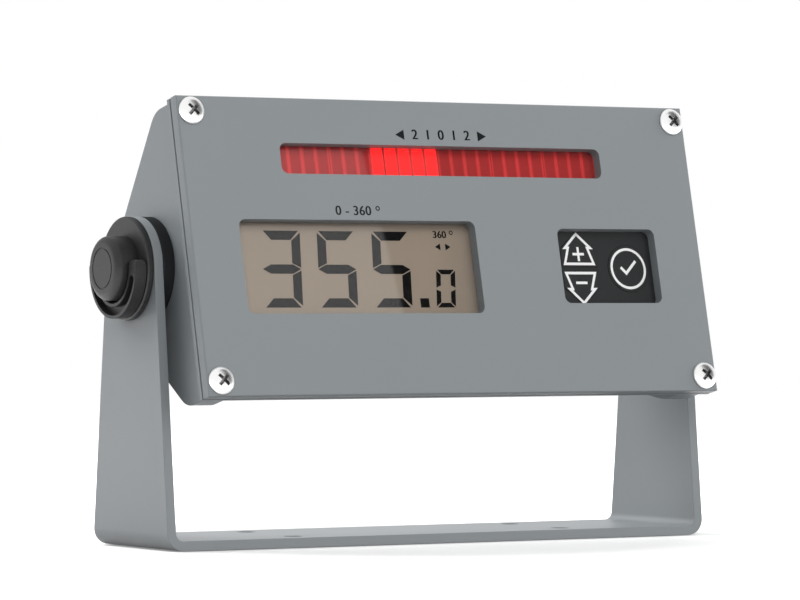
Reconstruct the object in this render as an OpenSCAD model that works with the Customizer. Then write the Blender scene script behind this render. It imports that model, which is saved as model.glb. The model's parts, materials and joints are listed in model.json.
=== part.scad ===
// Compass repeater display: a flat instrument housing that tilts in a U-shaped bracket.
// Millimetres. X points right along the tilt axis, Y to the rear, Z up.
// The origin is the centre of the bolt pattern, on the underside of the bracket.
// Panel pieces are drawn in panel axes: x across, y as depth behind the lid's face, z up the face.

/* [Front panel] */
// Width of the front lid
panel_w = 198; // [186:1:240]
// Height of the front lid
panel_h = 100; // [100:1:130]
// Thickness of the front lid
lid_t = 4; // [3:0.1:5]
// Rounding of the lid's front edges
lid_edge_r = 0.7; // [0.5:0.1:2.5]
// How far the face leans back as shown, in degrees
panel_tilt = 13.1; // [0:0.1:30]
// Thickness of the seal between lid and housing
gasket_t = 0.8; // [0.5:0.1:1.5]
// How far the seal's edge lies inside the lid's edge
gasket_inset = 0.5; // [0.3:0.1:1]
// Width of the seal along the long sides
gasket_band = 7.6; // [6:0.1:7.6]

/* [Windows] */
// Distance from each end of the turn bar's window to the lid's edge
bar_margin_u = 36.4; // [34:0.1:40]
// Height of the turn bar above the panel's middle, as a share of the panel's height
bar_rise_share = 0.294; // [0.286:0.002:0.3]
// Height of the turn bar's window
bar_window_h = 10.3; // [8:0.1:12]
// Distance from the number display's window to the lid's left edge
lcd_margin_u = 18; // [17:0.1:22]
// Height of the number display's window, as a share of the panel's height
lcd_window_share = 0.314; // [0.28:0.002:0.33]
// How far the number display lies below the panel's middle, as a share of the panel's height
lcd_drop_share = 0.07; // [0.06:0.002:0.08]
// Distance between the number display's window and the key window
lcd_keys_gap = 32.5; // [28:0.1:36]
// Width of the key window
key_window_w = 39.4; // [38:0.1:42]
// Height of the key window, as a share of the panel's height
key_window_share = 0.258; // [0.258:0.002:0.29]
// How far the key window lies below the panel's middle, as a share of the panel's height
keys_drop_share = 0.064; // [0.05:0.002:0.08]
// Distance from the key window to the lid's right edge
keys_margin_u = 18.1; // [17.5:0.1:22]
// Corner rounding of the windows
window_r = 2.4; // [1:0.1:3]
// Thickness of the window panes
pane_t = 0.8; // [0.6:0.1:1]
// How far the panes lap behind the lid
pane_lap = 2.6; // [2:0.1:2.8]

/* [Housing] */
// Depth from the lid's face to the flat back
housing_depth = 54; // [50:0.5:60]
// How far the lid reaches past each end face of the housing
lip_u = 2; // [2:0.1:3]
// How far the lid reaches past the housing's top and bottom
lip_v = 0.5; // [0.3:0.1:1]
// How much lower the housing's waist is than its ends, on each side
waist_drop = 3.5; // [2.5:0.1:4.5]
// Height of the flat back
back_h = 29.6; // [29.6:0.2:40]
// Depth at which the slopes to the back begin
shoulder_d = 19.2; // [17:0.2:21]
// Rounding where the slopes begin
shoulder_r = 10; // [4:0.5:12]
// Rounding round the flat back
back_r = 6; // [2:0.5:8]
// Wall of the housing
wall = 3; // [2.5:0.1:3.5]
// Thickness of the housing's front flange
flange_t = 1.8; // [1.5:0.1:3]
// Depth of the tilt axis behind the lid's face
axis_d = 33.1; // [31:0.1:35]
// Width of each full-height end
cheek_w = 8; // [7:0.5:9]
// Width of the slope from each end to the waist
cheek_slope_w = 5; // [4:0.5:12]

/* [Bracket] */
// Thickness of the bracket's plate
plate_t = 3.2; // [2.5:0.1:4]
// Depth of the bracket's base
base_depth = 53; // [48:1:60]
// Inside radius of the bracket's two bends
bend_r = 2.6; // [1.5:0.1:6]
// Radius of the arms' round ends
arm_end_r = 17; // [15:0.5:20]
// Height of the tilt axis above the bracket's underside
pivot_h = 91.4; // [85:0.5:110]
// Distance between the mounting holes, left to right
bolt_x = 105; // [90:1:120]
// Distance between the mounting holes, front to back
bolt_y = 32; // [28:1:36]
// Diameter of the mounting holes
bolt_hole_d = 6.5; // [5:0.1:8]

/* [Clamp knobs] */
// Thickness of the discs between housing and arms
spacer_t = 4.45; // [3.5:0.05:6]
// Gap between a disc and the arm it rubs on
rub_gap = 0.05; // [0.02:0.01:0.1]
// Thickness of the washer under each knob
washer_t = 2.3; // [2:0.1:3]
// Length of a knob's barrel
barrel_len = 8; // [7.6:0.1:8.2]
// Radius of a knob's barrel
barrel_r = 10.6; // [10:0.1:10.7]
// Rounding of the barrel's outer edge
barrel_edge_r = 2.5; // [2.4:0.1:2.8]
// Outer radius of the folding grip
grip_r = 16.4; // [16:0.1:17]
// Inner radius of the folding grip
grip_bore_r = 11.5; // [11.5:0.1:11.8]
// Thickness of the folding grip
grip_t = 4; // [3.6:0.1:4.2]
// Height of the grip's hinge above the knob's middle
grip_axis_v = 0.8; // [0.5:0.1:1]
// Radius of the clamp stud
stud_r = 3; // [2.5:0.5:3]
// Turn of the left clamp knob
left_clamp_a = 0; // [-180:5:180]
// Turn of the right clamp knob
right_clamp_a = 90; // [-180:5:180]
// Clearance of the stud in its holes
stud_gap = 0.06; // [0.03:0.01:0.1]

/* [Fasteners and gland] */
// Radius of the lid screws' heads
screw_head_r = 4.6; // [4:0.1:4.8]
// Height of the lid screws' heads
screw_head_h = 2.3; // [1.8:0.1:3.5]
// Radius of the lid screws' shanks
screw_r = 2.5; // [2:0.1:2.6]
// Distance from the lid screws to the lid's left and right edges
screw_edge_u = 5; // [5:0.1:5.4]
// Distance from the lid screws to the lid's top and bottom edges
screw_edge_v = 5.2; // [5:0.1:5.6]
// Radius of the cable gland's thread
gland_r = 8; // [7:0.5:8]
// Radius of the cable that the gland takes
cable_r = 4; // [3:0.5:4]

/* [Hidden] */

// Faces of a full circle, and steps of a rounded corner
$fn = 96;
corner_steps = 8;
arm_end_steps = 24;
// How far a cut runs past the face it opens
overrun = 1;
// Gap between pieces that are fixed to each other
fit_gap = 0.05;

// Depths of the layers behind the lid's face
gasket_d = lid_t;
flange_d = gasket_d + gasket_t;
display_gap = 0.2;
display_d = lid_t + pane_t + display_gap;
board_gap = 8;
board_d = display_d + board_gap;
board_t = 1.6;
board_back_d = board_d + board_t;

// Housing
housing_w = panel_w - 2 * lip_u;
housing_h = panel_h - 2 * lip_v;
waist_h = housing_h - 2 * waist_drop;

// Windows: sizes, and places of their middles on the panel
bar_window_w = panel_w - 2 * bar_margin_u;
bar_v = panel_h * bar_rise_share;
lcd_window_w = panel_w - lcd_margin_u - lcd_keys_gap - key_window_w - keys_margin_u;
lcd_window_h = panel_h * lcd_window_share;
lcd_u = lcd_margin_u - panel_w / 2 + lcd_window_w / 2;
lcd_v = -panel_h * lcd_drop_share;
key_window_h = panel_h * key_window_share;
keys_u = panel_w / 2 - keys_margin_u - key_window_w / 2;
keys_v = -panel_h * keys_drop_share;

// Bracket
arm_inner_x = housing_w / 2 + spacer_t + rub_gap;
arm_outer_x = arm_inner_x + plate_t;
bend_outer_r = bend_r + plate_t;
arm_hole_r = stud_r + stud_gap;

// Opening of the seal
gasket_open_w = panel_w - 2 * (screw_edge_u + gasket_band);
gasket_open_h = panel_h - 2 * (gasket_inset + gasket_band);

// Lid screws
screw_u = panel_w / 2 - screw_edge_u;
screw_v = panel_h / 2 - screw_edge_v;
screw_gap = 0.3;
screw_len = 16;
screw_crown_share = 0.15;
thread_gap = 0.05;

// Housing cavity
half_h = housing_h / 2;
slope_a = atan2(half_h - back_h / 2, housing_depth - shoulder_d);
cavity_w = housing_w - 2 * wall;
cavity_h = waist_h - 2 * wall;
boss_clear_u = 10;
boss_clear_v = 7;
cavity_corner_r = 2;
insert_boss_r = 9;

// Clamp hardware
insert_r = 5;
insert_len = 12;
insert_back = 1.5;
stud_inner_x = housing_w / 2 - insert_len + insert_back;
washer_x = arm_outer_x + rub_gap;
barrel_x = washer_x + washer_t;
knob_end_x = barrel_x + barrel_len;
stud_cap_t = 2.4;
stud_end_x = knob_end_x - stud_cap_t;
grip_gap = 0.25;
grip_x = barrel_x + grip_gap;
grip_mid_x = grip_x + grip_t / 2;
grip_ear_in = 0.1;
grip_ear_out = 0.3;
grip_wall = 1;
grip_floor = 1.5;
groove_start_a = 15;
groove_steps = 36;
pin_r = 1;
pin_gap = 0.05;
pin_depth = 5;
pin_cover = 1.2;
pin_reach = grip_r - grip_ear_out - pin_cover - barrel_r + pin_depth;
face_ring_r = 6.6;
face_ring_w = 0.5;
face_ring_h = 0.25;
disc_edge = 0.4;

// Turn bar
bar_module_count = 6;
bar_segment_count = 4;
bar_shift_u = 0.6;
bar_overlap_u = 0.4;
bar_overlap_v = 0.2;
bar_module_w = (bar_window_w + 2 * bar_overlap_u) / bar_module_count;
bar_module_gap = 0.2;
bar_module_rim = 0.9;
bar_segment_gap = 0.8;
bar_segment_h = bar_window_h + 2 * bar_overlap_v;
bar_module_h = bar_segment_h + 2 * bar_module_rim;
bar_segment_t = 1.2;
bar_cup_floor = 1;

// Number display
lcd_lap = 2.1;
lcd_glass_w = lcd_window_w + 2 * lcd_lap;
lcd_glass_h = lcd_window_h + 2 * lcd_lap;
lcd_glass_t = 2.2;
lcd_frame_wall = 1.2;
lcd_gap = 0.1;
lcd_frame_corner_r = 0.6;

// Keys
overlay_t = 0.5;
key_proud = 0.15;
key_travel = 0.4;
key_gap = 0.15;
key_lip = 0.8;
key_lip_t = 0.6;
key_stem_r = 2;
arrow_key_u = -9.7;
arrow_key_w = 14.2;
arrow_tip_v = key_window_h / 2 - key_gap;
arrow_shoulder_v = 6.8;
arrow_foot_v = 0.6;
round_key_u = 10;
round_key_r = 8.1;
switch_w = 6;
switch_h = 3.5;
switch_knob_r = 1.75;
switch_play = 0.05;
switch_knob_h = 0.9;
switch_knob_d = board_d - switch_h - switch_knob_h;
key_stem_end_d = switch_knob_d - key_travel - switch_play;

// Circuit board and what it carries
board_margin = 1;
board_corner_r = 2;
board_w = cavity_w - 2 * boss_clear_u - 2 * board_margin;
board_h = min(cavity_h, gasket_open_h) - 2 * board_margin;
standoff_edge = 4;
standoff_u = board_w / 2 - standoff_edge;
standoff_v = board_h / 2 - standoff_edge;
standoff_r = 3.2;
board_screw_r = 1.5;
board_screw_head_r = 2.8;
board_screw_head_h = 1.8;
board_screw_len = 6;
chip_w = 14;
chip_t = 1.6;
driver_w = 17;
driver_h = 7.5;
driver_edge = 21;
driver_pitch_share = 0.31;
driver_u = board_w * driver_pitch_share / 2;
driver_v = board_h / 2 - driver_edge;
capacitor_r = 5;
capacitor_len = 13;
capacitor_pitch = 12;
capacitor_edge_u = 21;
capacitor_edge_v = 27;
capacitor_u = board_w / 2 - capacitor_edge_u - capacitor_pitch;
capacitor_v = capacitor_edge_v - board_h / 2;
terminal_poles = 6;
terminal_pitch = 5;
terminal_h = 10;
terminal_depth = 12;
terminal_edge = 19;
terminal_v = terminal_edge - board_h / 2;
terminal_wire_w = 3.4;
terminal_screw_r = 1.9;
terminal_screw_h = 1.2;

// Cable gland, on the housing's back
gland_hex_r = 12.7;
gland_hex_t = 5;
gland_washer_r = 11;
gland_washer_t = 1;
gland_thread_in = 9;
gland_locknut_t = 4;
gland_wall = 1.2;
gland_tube_len = 6;
gland_nut_r = 11.5;
gland_nut_gap = 1;
gland_nut_end = 1.6;
gland_dome_h = 3.5;
gland_mouth_r = cable_r + 1;
gland_axis_v = 0;

// Unit vector along v
function unit(v) = v / norm(v);

// Vector v turned by angle a
function turned(v, a) = [v[0] * cos(a) - v[1] * sin(a), v[0] * sin(a) + v[1] * cos(a)];

// Corner p between its neighbours a and b, rounded to radius r
function round_corner(a, p, b, r, steps) =
    r == 0 ? [p] :
    let (
        ua = unit(a - p), ub = unit(b - p),
        half = acos(ua * ub) / 2,
        centre = p + unit(ua + ub) * r / sin(half),
        start = p + ua * r / tan(half) - centre,
        side = ua[0] * ub[1] - ua[1] * ub[0] > 0 ? -1 : 1
    )
    [for (i = [0:steps]) centre + turned(start, side * (180 - 2 * half) * i / steps)];

// Outline through points, each corner rounded to its radius
function rounded(points, radii, steps = corner_steps) =
    let (n = len(points))
    [for (i = [0:n - 1])
        each round_corner(points[(i + n - 1) % n], points[i], points[(i + 1) % n], radii[i], steps)];

// Rectangle about the origin with rounded corners
function round_rect(w, h, r) =
    rounded([[-w / 2, -h / 2], [w / 2, -h / 2], [w / 2, h / 2], [-w / 2, h / 2]], [r, r, r, r]);

// Arc of points about the origin
function arc(r, from, to, steps) =
    [for (i = [0:steps]) r * [cos(from + (to - from) * i / steps), sin(from + (to - from) * i / steps)]];

// Height of the housing's upper slope at depth d, for a skin that lies inset below it
function slope_v(d, inset) = half_h - (d - shoulder_d) * tan(slope_a) - inset / cos(slope_a);

// Depth at which that slope has height v
function slope_d(v, inset) = shoulder_d + (half_h - inset / cos(slope_a) - v) / tan(slope_a);

// Panel axes placed in the bracket
module in_panel() {
    translate([0, 0, pivot_h]) rotate([-panel_tilt, 0, 0]) translate([0, -axis_d, 0]) children();
}

// Outline in panel x and z, extruded backwards from depth d
module slab(d, t) {
    translate([0, d + t, 0]) rotate([90, 0, 0]) linear_extrude(t) children();
}

// Outline in y and z, extruded along x about the middle
module along_x(w) {
    translate([-w / 2, 0, 0]) rotate([90, 0, 90]) linear_extrude(w) children();
}

// Solid of revolution, or other shape, turned from the z axis to point backwards from depth d
module backwards(u, d, v) {
    translate([u, d, v]) rotate([-90, 0, 0]) children();
}

// Shape turned from the z axis to run outwards along the tilt axis
module on_axis(x) {
    translate([x, 0, pivot_h]) rotate([0, 90, 0]) children();
}

// The four corner places of a rectangle, in panel x and z
module at_corners(u, v) {
    for (su = [-1, 1], sv = [-1, 1]) translate([su * u, 0, sv * v]) children();
}

// Right-hand piece, mirrored for the left side
module on_side(side) {
    mirror([side < 0 ? 1 : 0, 0, 0]) children();
}

// Piece of a clamp knob, turned about the tilt axis to where that side's clamp came tight
module on_clamp(side) {
    on_side(side) translate([0, 0, pivot_h]) rotate([side < 0 ? left_clamp_a : right_clamp_a, 0, 0])
        translate([0, 0, -pivot_h]) children();
}

module bracket() {
    foot = base_depth / 2;
    side_outline = concat(
        [[-foot, 0], [foot, 0]],
        [for (p = arc(arm_end_r, 0, 180, arm_end_steps)) [p[0], p[1] + pivot_h]]
    );
    top = pivot_h + arm_end_r + overrun;
    color("slategray") difference() {
        intersection() {
            translate([0, foot + overrun, 0]) rotate([90, 0, 0]) linear_extrude(base_depth + 2 * overrun)
                difference() {
                    polygon(rounded(
                        [[-arm_outer_x, 0], [arm_outer_x, 0], [arm_outer_x, top], [-arm_outer_x, top]],
                        [bend_outer_r, bend_outer_r, 0, 0]));
                    polygon(rounded(
                        [[-arm_inner_x, plate_t], [arm_inner_x, plate_t],
                            [arm_inner_x, top + overrun], [-arm_inner_x, top + overrun]],
                        [bend_r, bend_r, 0, 0]));
                }
            along_x(2 * (arm_outer_x + overrun)) polygon(side_outline);
        }
        for (sx = [-1, 1], sy = [-1, 1])
            translate([sx * bolt_x / 2, sy * bolt_y / 2, -overrun])
                cylinder(d = bolt_hole_d, h = plate_t + 2 * overrun);
        on_axis(-arm_outer_x - overrun) cylinder(r = arm_hole_r, h = 2 * (arm_outer_x + overrun));
    }
}

// Housing outline from the side, in depth and height
function housing_profile() = rounded(
    [[flange_d, -half_h], [shoulder_d, -half_h], [housing_depth, -back_h / 2],
        [housing_depth, back_h / 2], [shoulder_d, half_h], [flange_d, half_h]],
    [0, shoulder_r, back_r, back_r, shoulder_r, 0]);

// Cavity outline from the side, a wall's thickness inside the housing
function cavity_profile() =
    let (
        v = cavity_h / 2,
        back_d = housing_depth - wall
    )
    [[flange_d - overrun, -v], [slope_d(v, wall), -v], [back_d, -slope_v(back_d, wall)],
        [back_d, slope_v(back_d, wall)], [slope_d(v, wall), v], [flange_d - overrun, v]];

// Housing outline from the front: full height at the ends, lower at the waist
function housing_front() =
    let (
        end_u = housing_w / 2,
        cheek_u = end_u - cheek_w,
        waist_u = cheek_u - cheek_slope_w,
        waist_v = waist_h / 2,
        upper = [[end_u, half_h], [cheek_u, half_h], [waist_u, waist_v],
            [-waist_u, waist_v], [-cheek_u, half_h], [-end_u, half_h]]
    )
    concat(upper, [for (i = [len(upper) - 1:-1:0]) [upper[i][0], -upper[i][1]]]);

module rear_housing() {
    boss_len = insert_len + insert_back;
    color("slategray") in_panel() difference() {
        union() {
            difference() {
                union() {
                    slab(flange_d, flange_t) square([panel_w, panel_h], center = true);
                    intersection() {
                        along_x(housing_w) polygon(housing_profile());
                        slab(flange_d, housing_depth) polygon(housing_front());
                    }
                }
                intersection() {
                    along_x(cavity_w) polygon(cavity_profile());
                    slab(flange_d - overrun, housing_depth) union() {
                        polygon(round_rect(cavity_w, cavity_h - 2 * boss_clear_v, cavity_corner_r));
                        polygon(round_rect(cavity_w - 2 * boss_clear_u, cavity_h, cavity_corner_r));
                    }
                }
            }
            for (side = [-1, 1]) on_side(side)
                translate([housing_w / 2 - wall, axis_d, 0]) rotate([0, -90, 0])
                    cylinder(r = insert_boss_r, h = boss_len - wall);
        }
        for (side = [-1, 1]) on_side(side)
            translate([housing_w / 2 + overrun, axis_d, 0]) rotate([0, -90, 0])
                cylinder(r = insert_r + fit_gap, h = insert_len + overrun);
        at_corners(screw_u, screw_v) backwards(0, flange_d - overrun, 0)
            cylinder(r = screw_r + thread_gap, h = screw_len - flange_d + 2 * overrun);
        backwards(0, housing_depth - wall - overrun, gland_axis_v)
            cylinder(r = gland_r + fit_gap, h = wall + 2 * overrun);
    }
}

module front_lid() {
    edges = [lid_edge_r, 0, 0, lid_edge_r];
    u = panel_w / 2;
    v = panel_h / 2;
    color("slategray") in_panel() difference() {
        intersection() {
            along_x(panel_w) polygon(rounded([[0, -v], [lid_t, -v], [lid_t, v], [0, v]], edges));
            translate([0, 0, -v]) linear_extrude(panel_h)
                polygon(rounded([[-u, 0], [-u, lid_t], [u, lid_t], [u, 0]], edges));
        }
        slab(-overrun, lid_t + 2 * overrun) {
            translate([0, bar_v]) polygon(round_rect(bar_window_w, bar_window_h, window_r));
            translate([lcd_u, lcd_v]) polygon(round_rect(lcd_window_w, lcd_window_h, window_r));
            translate([keys_u, keys_v]) polygon(round_rect(key_window_w, key_window_h, window_r));
        }
        at_corners(screw_u, screw_v) backwards(0, -overrun, 0)
            cylinder(r = screw_r + screw_gap, h = lid_t + 2 * overrun);
    }
}

module lid_gasket() {
    outer_w = panel_w - 2 * gasket_inset;
    outer_h = panel_h - 2 * gasket_inset;
    color("dimgray") in_panel() difference() {
        slab(gasket_d, gasket_t) difference() {
            square([outer_w, outer_h], center = true);
            polygon(round_rect(gasket_open_w, gasket_open_h, cavity_corner_r));
        }
        at_corners(screw_u, screw_v) backwards(0, gasket_d - overrun, 0)
            cylinder(r = screw_r + screw_gap, h = gasket_t + 2 * overrun);
    }
}

// Pan-head screw that points backwards, seated at its origin
module pan_screw(head_r, head_h, shank_r, length) {
    crown = head_h * screw_crown_share;
    rotate_extrude() polygon(concat(
        [[0, length], [shank_r, length], [shank_r, 0], [head_r, 0]],
        [for (p = arc(1, 0, 90, corner_steps)) [head_r * p[0], -crown - (head_h - crown) * p[1]]]
    ));
}

module lid_screws() {
    color("silver") in_panel() at_corners(screw_u, screw_v) backwards(0, 0, 0)
        pan_screw(screw_head_r, screw_head_h, screw_r, screw_len);
}

// Pane behind one of the lid's windows
module pane(u, v, w, h) {
    slab(lid_t, pane_t) translate([u, v])
        polygon(round_rect(w + 2 * pane_lap, h + 2 * pane_lap, window_r));
}

module bar_filter() {
    color("firebrick") in_panel() pane(0, bar_v, bar_window_w, bar_window_h);
}

module lcd_window() {
    color("gainsboro", 0.4) in_panel() pane(lcd_u, lcd_v, lcd_window_w, lcd_window_h);
}

// Each bar module's middle, and each segment's middle within it
module at_bar_modules() {
    for (i = [0:bar_module_count - 1])
        translate([bar_shift_u + (i - (bar_module_count - 1) / 2) * bar_module_w, 0, bar_v]) children();
}

module at_bar_segments() {
    for (i = [0:bar_segment_count - 1])
        translate([(i - (bar_segment_count - 1) / 2) * bar_module_w / bar_segment_count, 0, 0]) children();
}

module bar_modules() {
    segment_w = bar_module_w / bar_segment_count - bar_segment_gap;
    depth = board_gap;
    color("maroon") in_panel() at_bar_modules() difference() {
        slab(display_d, depth) square([bar_module_w - bar_module_gap, bar_module_h], center = true);
        at_bar_segments() slab(display_d - overrun, depth - bar_cup_floor + overrun)
            square([segment_w, bar_segment_h], center = true);
    }
}

module bar_segments() {
    segment_w = bar_module_w / bar_segment_count - bar_segment_gap - 2 * fit_gap;
    color("red") in_panel() at_bar_modules() at_bar_segments() slab(display_d, bar_segment_t)
        square([segment_w, bar_segment_h - 2 * fit_gap], center = true);
}

module lcd_glass() {
    color("tan") in_panel() slab(display_d, lcd_glass_t) translate([lcd_u, lcd_v])
        square([lcd_glass_w, lcd_glass_h], center = true);
}

module lcd_frame() {
    inner_w = lcd_glass_w + 2 * lcd_gap;
    inner_h = lcd_glass_h + 2 * lcd_gap;
    color("black") in_panel() slab(display_d, board_gap) translate([lcd_u, lcd_v]) difference() {
        polygon(round_rect(inner_w + 2 * lcd_frame_wall, inner_h + 2 * lcd_frame_wall, lcd_frame_corner_r));
        square([inner_w, inner_h], center = true);
    }
}

module lcd_backlight() {
    color("white") in_panel() slab(display_d + lcd_glass_t, board_gap - lcd_glass_t)
        translate([lcd_u, lcd_v]) square([lcd_glass_w, lcd_glass_h], center = true);
}

// Outline of an arrow key, grown by a margin, pointing up from the middle between the pair
module arrow_outline(margin) {
    half_w = arrow_key_w / 2 + margin;
    shoulder_v = arrow_shoulder_v + margin / 2;
    polygon([[-half_w, arrow_foot_v - margin], [half_w, arrow_foot_v - margin],
        [half_w, shoulder_v], [0, arrow_tip_v + margin], [-half_w, shoulder_v]]);
}

// Outlines of the three keys, placed on the panel
module arrow_key_outline(direction, margin) {
    translate([keys_u + arrow_key_u, keys_v]) mirror([0, direction < 0 ? 1 : 0]) arrow_outline(margin);
}

module round_key_outline(margin) {
    translate([keys_u + round_key_u, keys_v]) circle(r = round_key_r + margin);
}

module keypad_overlay() {
    color("black") in_panel() slab(lid_t, overlay_t) difference() {
        translate([keys_u, keys_v])
            polygon(round_rect(key_window_w + 2 * pane_lap, key_window_h + 2 * pane_lap, window_r));
        arrow_key_outline(1, key_gap);
        arrow_key_outline(-1, key_gap);
        round_key_outline(key_gap);
    }
}

// Stem behind a key, down to just short of its switch
module key_stem(u, v) {
    lip_d = lid_t + overlay_t;
    backwards(u, lip_d, v) cylinder(r = key_stem_r, h = key_stem_end_d - lip_d);
}

// Middle of an arrow key's stem, on the panel
function arrow_stem_v(direction) = keys_v + direction * (arrow_shoulder_v + arrow_foot_v) / 2;

module arrow_key(direction) {
    lip_w = arrow_key_w + 2 * key_lip;
    lip_low = arrow_foot_v - key_gap;
    lip_high = arrow_shoulder_v + key_lip;
    color("dimgray") in_panel() {
        slab(lid_t - key_proud, overlay_t + key_proud + key_lip_t / 2) arrow_key_outline(direction, 0);
        slab(lid_t + overlay_t, key_lip_t)
            translate([keys_u + arrow_key_u, keys_v + direction * (lip_low + lip_high) / 2])
                square([lip_w, lip_high - lip_low], center = true);
        key_stem(keys_u + arrow_key_u, arrow_stem_v(direction));
    }
}

module key_set() {
    color("dimgray") in_panel() {
        slab(lid_t - key_proud, overlay_t + key_proud + key_lip_t / 2) round_key_outline(0);
        slab(lid_t + overlay_t, key_lip_t) round_key_outline(key_lip);
        key_stem(keys_u + round_key_u, keys_v);
    }
}

// Push switch on the board, its knob towards the key
module push_switch(u, v) {
    slab(board_d - switch_h, switch_h) translate([u, v]) square([switch_w, switch_w], center = true);
    backwards(u, switch_knob_d, v) cylinder(r = switch_knob_r, h = board_d - switch_h - switch_knob_d);
}

module key_switches() {
    color("darkslategray") in_panel() {
        for (direction = [-1, 1]) push_switch(keys_u + arrow_key_u, arrow_stem_v(direction));
        push_switch(keys_u + round_key_u, keys_v);
    }
}

module main_board() {
    color("darkgreen") in_panel() difference() {
        slab(board_d, board_t) polygon(round_rect(board_w, board_h, board_corner_r));
        at_corners(standoff_u, standoff_v) backwards(0, board_d - overrun, 0)
            cylinder(r = board_screw_r + fit_gap, h = board_t + 2 * overrun);
    }
}

module board_standoffs() {
    color("gold") in_panel() at_corners(standoff_u, standoff_v) difference() {
        backwards(0, lid_t, 0) cylinder(r = standoff_r, h = board_d - lid_t, $fn = 6);
        backwards(0, board_back_d - board_screw_len - overrun, 0)
            cylinder(r = board_screw_r + fit_gap, h = board_screw_len + overrun);
    }
}

module board_screws() {
    color("silver") in_panel() at_corners(standoff_u, standoff_v)
        backwards(0, board_back_d, 0) rotate([180, 0, 0])
            pan_screw(board_screw_head_r, board_screw_head_h, board_screw_r, board_screw_len);
}

// Chip on the board's back
module chip(u, v, w, h) {
    slab(board_back_d, chip_t) translate([u, v]) square([w, h], center = true);
}

module processor_chip() {
    color("black") in_panel() chip(0, 0, chip_w, chip_w);
}

module driver_chips() {
    color("black") in_panel() for (side = [-1, 1]) chip(side * driver_u, driver_v, driver_w, driver_h);
}

module capacitors() {
    color("navy") in_panel() for (i = [-1:1])
        backwards(capacitor_u + i * capacitor_pitch, board_back_d, capacitor_v)
            cylinder(r = capacitor_r, h = capacitor_len);
}

// The middle of each pole of the terminal block
module at_terminals() {
    for (i = [0:terminal_poles - 1])
        translate([(i - (terminal_poles - 1) / 2) * terminal_pitch, 0, terminal_v]) children();
}

module terminal_block() {
    color("seagreen") in_panel() difference() {
        slab(board_back_d, terminal_depth) translate([0, terminal_v])
            square([terminal_poles * terminal_pitch, terminal_h], center = true);
        at_terminals() backwards(0, board_back_d + terminal_depth - terminal_screw_h, 0)
            cylinder(r = terminal_screw_r + fit_gap, h = terminal_screw_h + overrun);
        at_terminals() translate([0, board_back_d + terminal_depth / 2, -terminal_h / 2])
            cube([terminal_wire_w, terminal_wire_w, terminal_h / 2], center = true);
    }
}

module terminal_screws() {
    color("silver") in_panel() at_terminals()
        backwards(0, board_back_d + terminal_depth - terminal_screw_h, 0)
            cylinder(r = terminal_screw_r, h = terminal_screw_h);
}

module gland_washer() {
    color("black") in_panel() backwards(0, housing_depth, gland_axis_v) difference() {
        cylinder(r = gland_washer_r, h = gland_washer_t);
        translate([0, 0, -overrun]) cylinder(r = gland_r + fit_gap, h = gland_washer_t + 2 * overrun);
    }
}

module gland_body() {
    bore_r = gland_r - gland_wall;
    hex_z = gland_washer_t;
    color("dimgray") in_panel() backwards(0, housing_depth, gland_axis_v) difference() {
        union() {
            translate([0, 0, -gland_thread_in]) cylinder(r = gland_r, h = gland_thread_in + hex_z);
            translate([0, 0, hex_z]) cylinder(r = gland_hex_r, h = gland_hex_t, $fn = 6);
            translate([0, 0, hex_z + gland_hex_t]) cylinder(r = gland_r, h = gland_tube_len);
        }
        translate([0, 0, hex_z + gland_hex_t]) cylinder(r = bore_r, h = gland_tube_len + overrun);
        translate([0, 0, -gland_thread_in - overrun])
            cylinder(r = gland_mouth_r, h = gland_thread_in + gland_hex_t + hex_z + 2 * overrun);
    }
}

module gland_seal() {
    color("black") in_panel() backwards(0, housing_depth + gland_washer_t + gland_hex_t, gland_axis_v)
        difference() {
            cylinder(r = gland_r - gland_wall - fit_gap, h = gland_tube_len);
            translate([0, 0, -overrun]) cylinder(r = cable_r, h = gland_tube_len + 2 * overrun);
        }
}

module gland_nut() {
    tube_end = gland_tube_len + fit_gap;
    hex_end = tube_end + gland_nut_end;
    crown_r = gland_nut_r * cos(30);
    lip_r = gland_mouth_r + gland_wall;
    color("dimgray") in_panel() backwards(0, housing_depth + gland_washer_t + gland_hex_t, gland_axis_v)
        difference() {
            union() {
                translate([0, 0, gland_nut_gap])
                    cylinder(r = gland_nut_r, h = hex_end - gland_nut_gap, $fn = 6);
                translate([0, 0, hex_end]) rotate_extrude() polygon(concat([[0, 0]],
                    [for (p = arc(1, 0, 90, corner_steps))
                        [lip_r + (crown_r - lip_r) * p[0], gland_dome_h * p[1]]],
                    [[0, gland_dome_h]]));
            }
            translate([0, 0, -overrun]) cylinder(r = gland_r + fit_gap, h = tube_end + overrun);
            cylinder(r = gland_mouth_r, h = hex_end + gland_dome_h + overrun);
        }
}

module gland_locknut() {
    color("dimgray") in_panel()
        backwards(0, housing_depth - wall - gland_locknut_t, gland_axis_v) difference() {
            cylinder(r = gland_hex_r, h = gland_locknut_t, $fn = 6);
            translate([0, 0, -overrun]) cylinder(r = gland_r + fit_gap, h = gland_locknut_t + 2 * overrun);
        }
}

// Threaded sleeve in the housing's end, on the tilt axis
module insert_sleeve() {
    on_axis(housing_w / 2 - insert_len) difference() {
        cylinder(r = insert_r, h = insert_len);
        translate([0, 0, -overrun]) cylinder(r = stud_r + stud_gap, h = insert_len + 2 * overrun);
    }
}

// Round disc with a stud hole and slightly bevelled edges, centred on the tilt axis
module clamp_disc(x, t) {
    on_axis(x) rotate_extrude() polygon([
        [stud_r + stud_gap, 0], [arm_end_r - disc_edge, 0], [arm_end_r, disc_edge],
        [arm_end_r, t - disc_edge], [arm_end_r - disc_edge, t], [stud_r + stud_gap, t]]);
}

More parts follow.
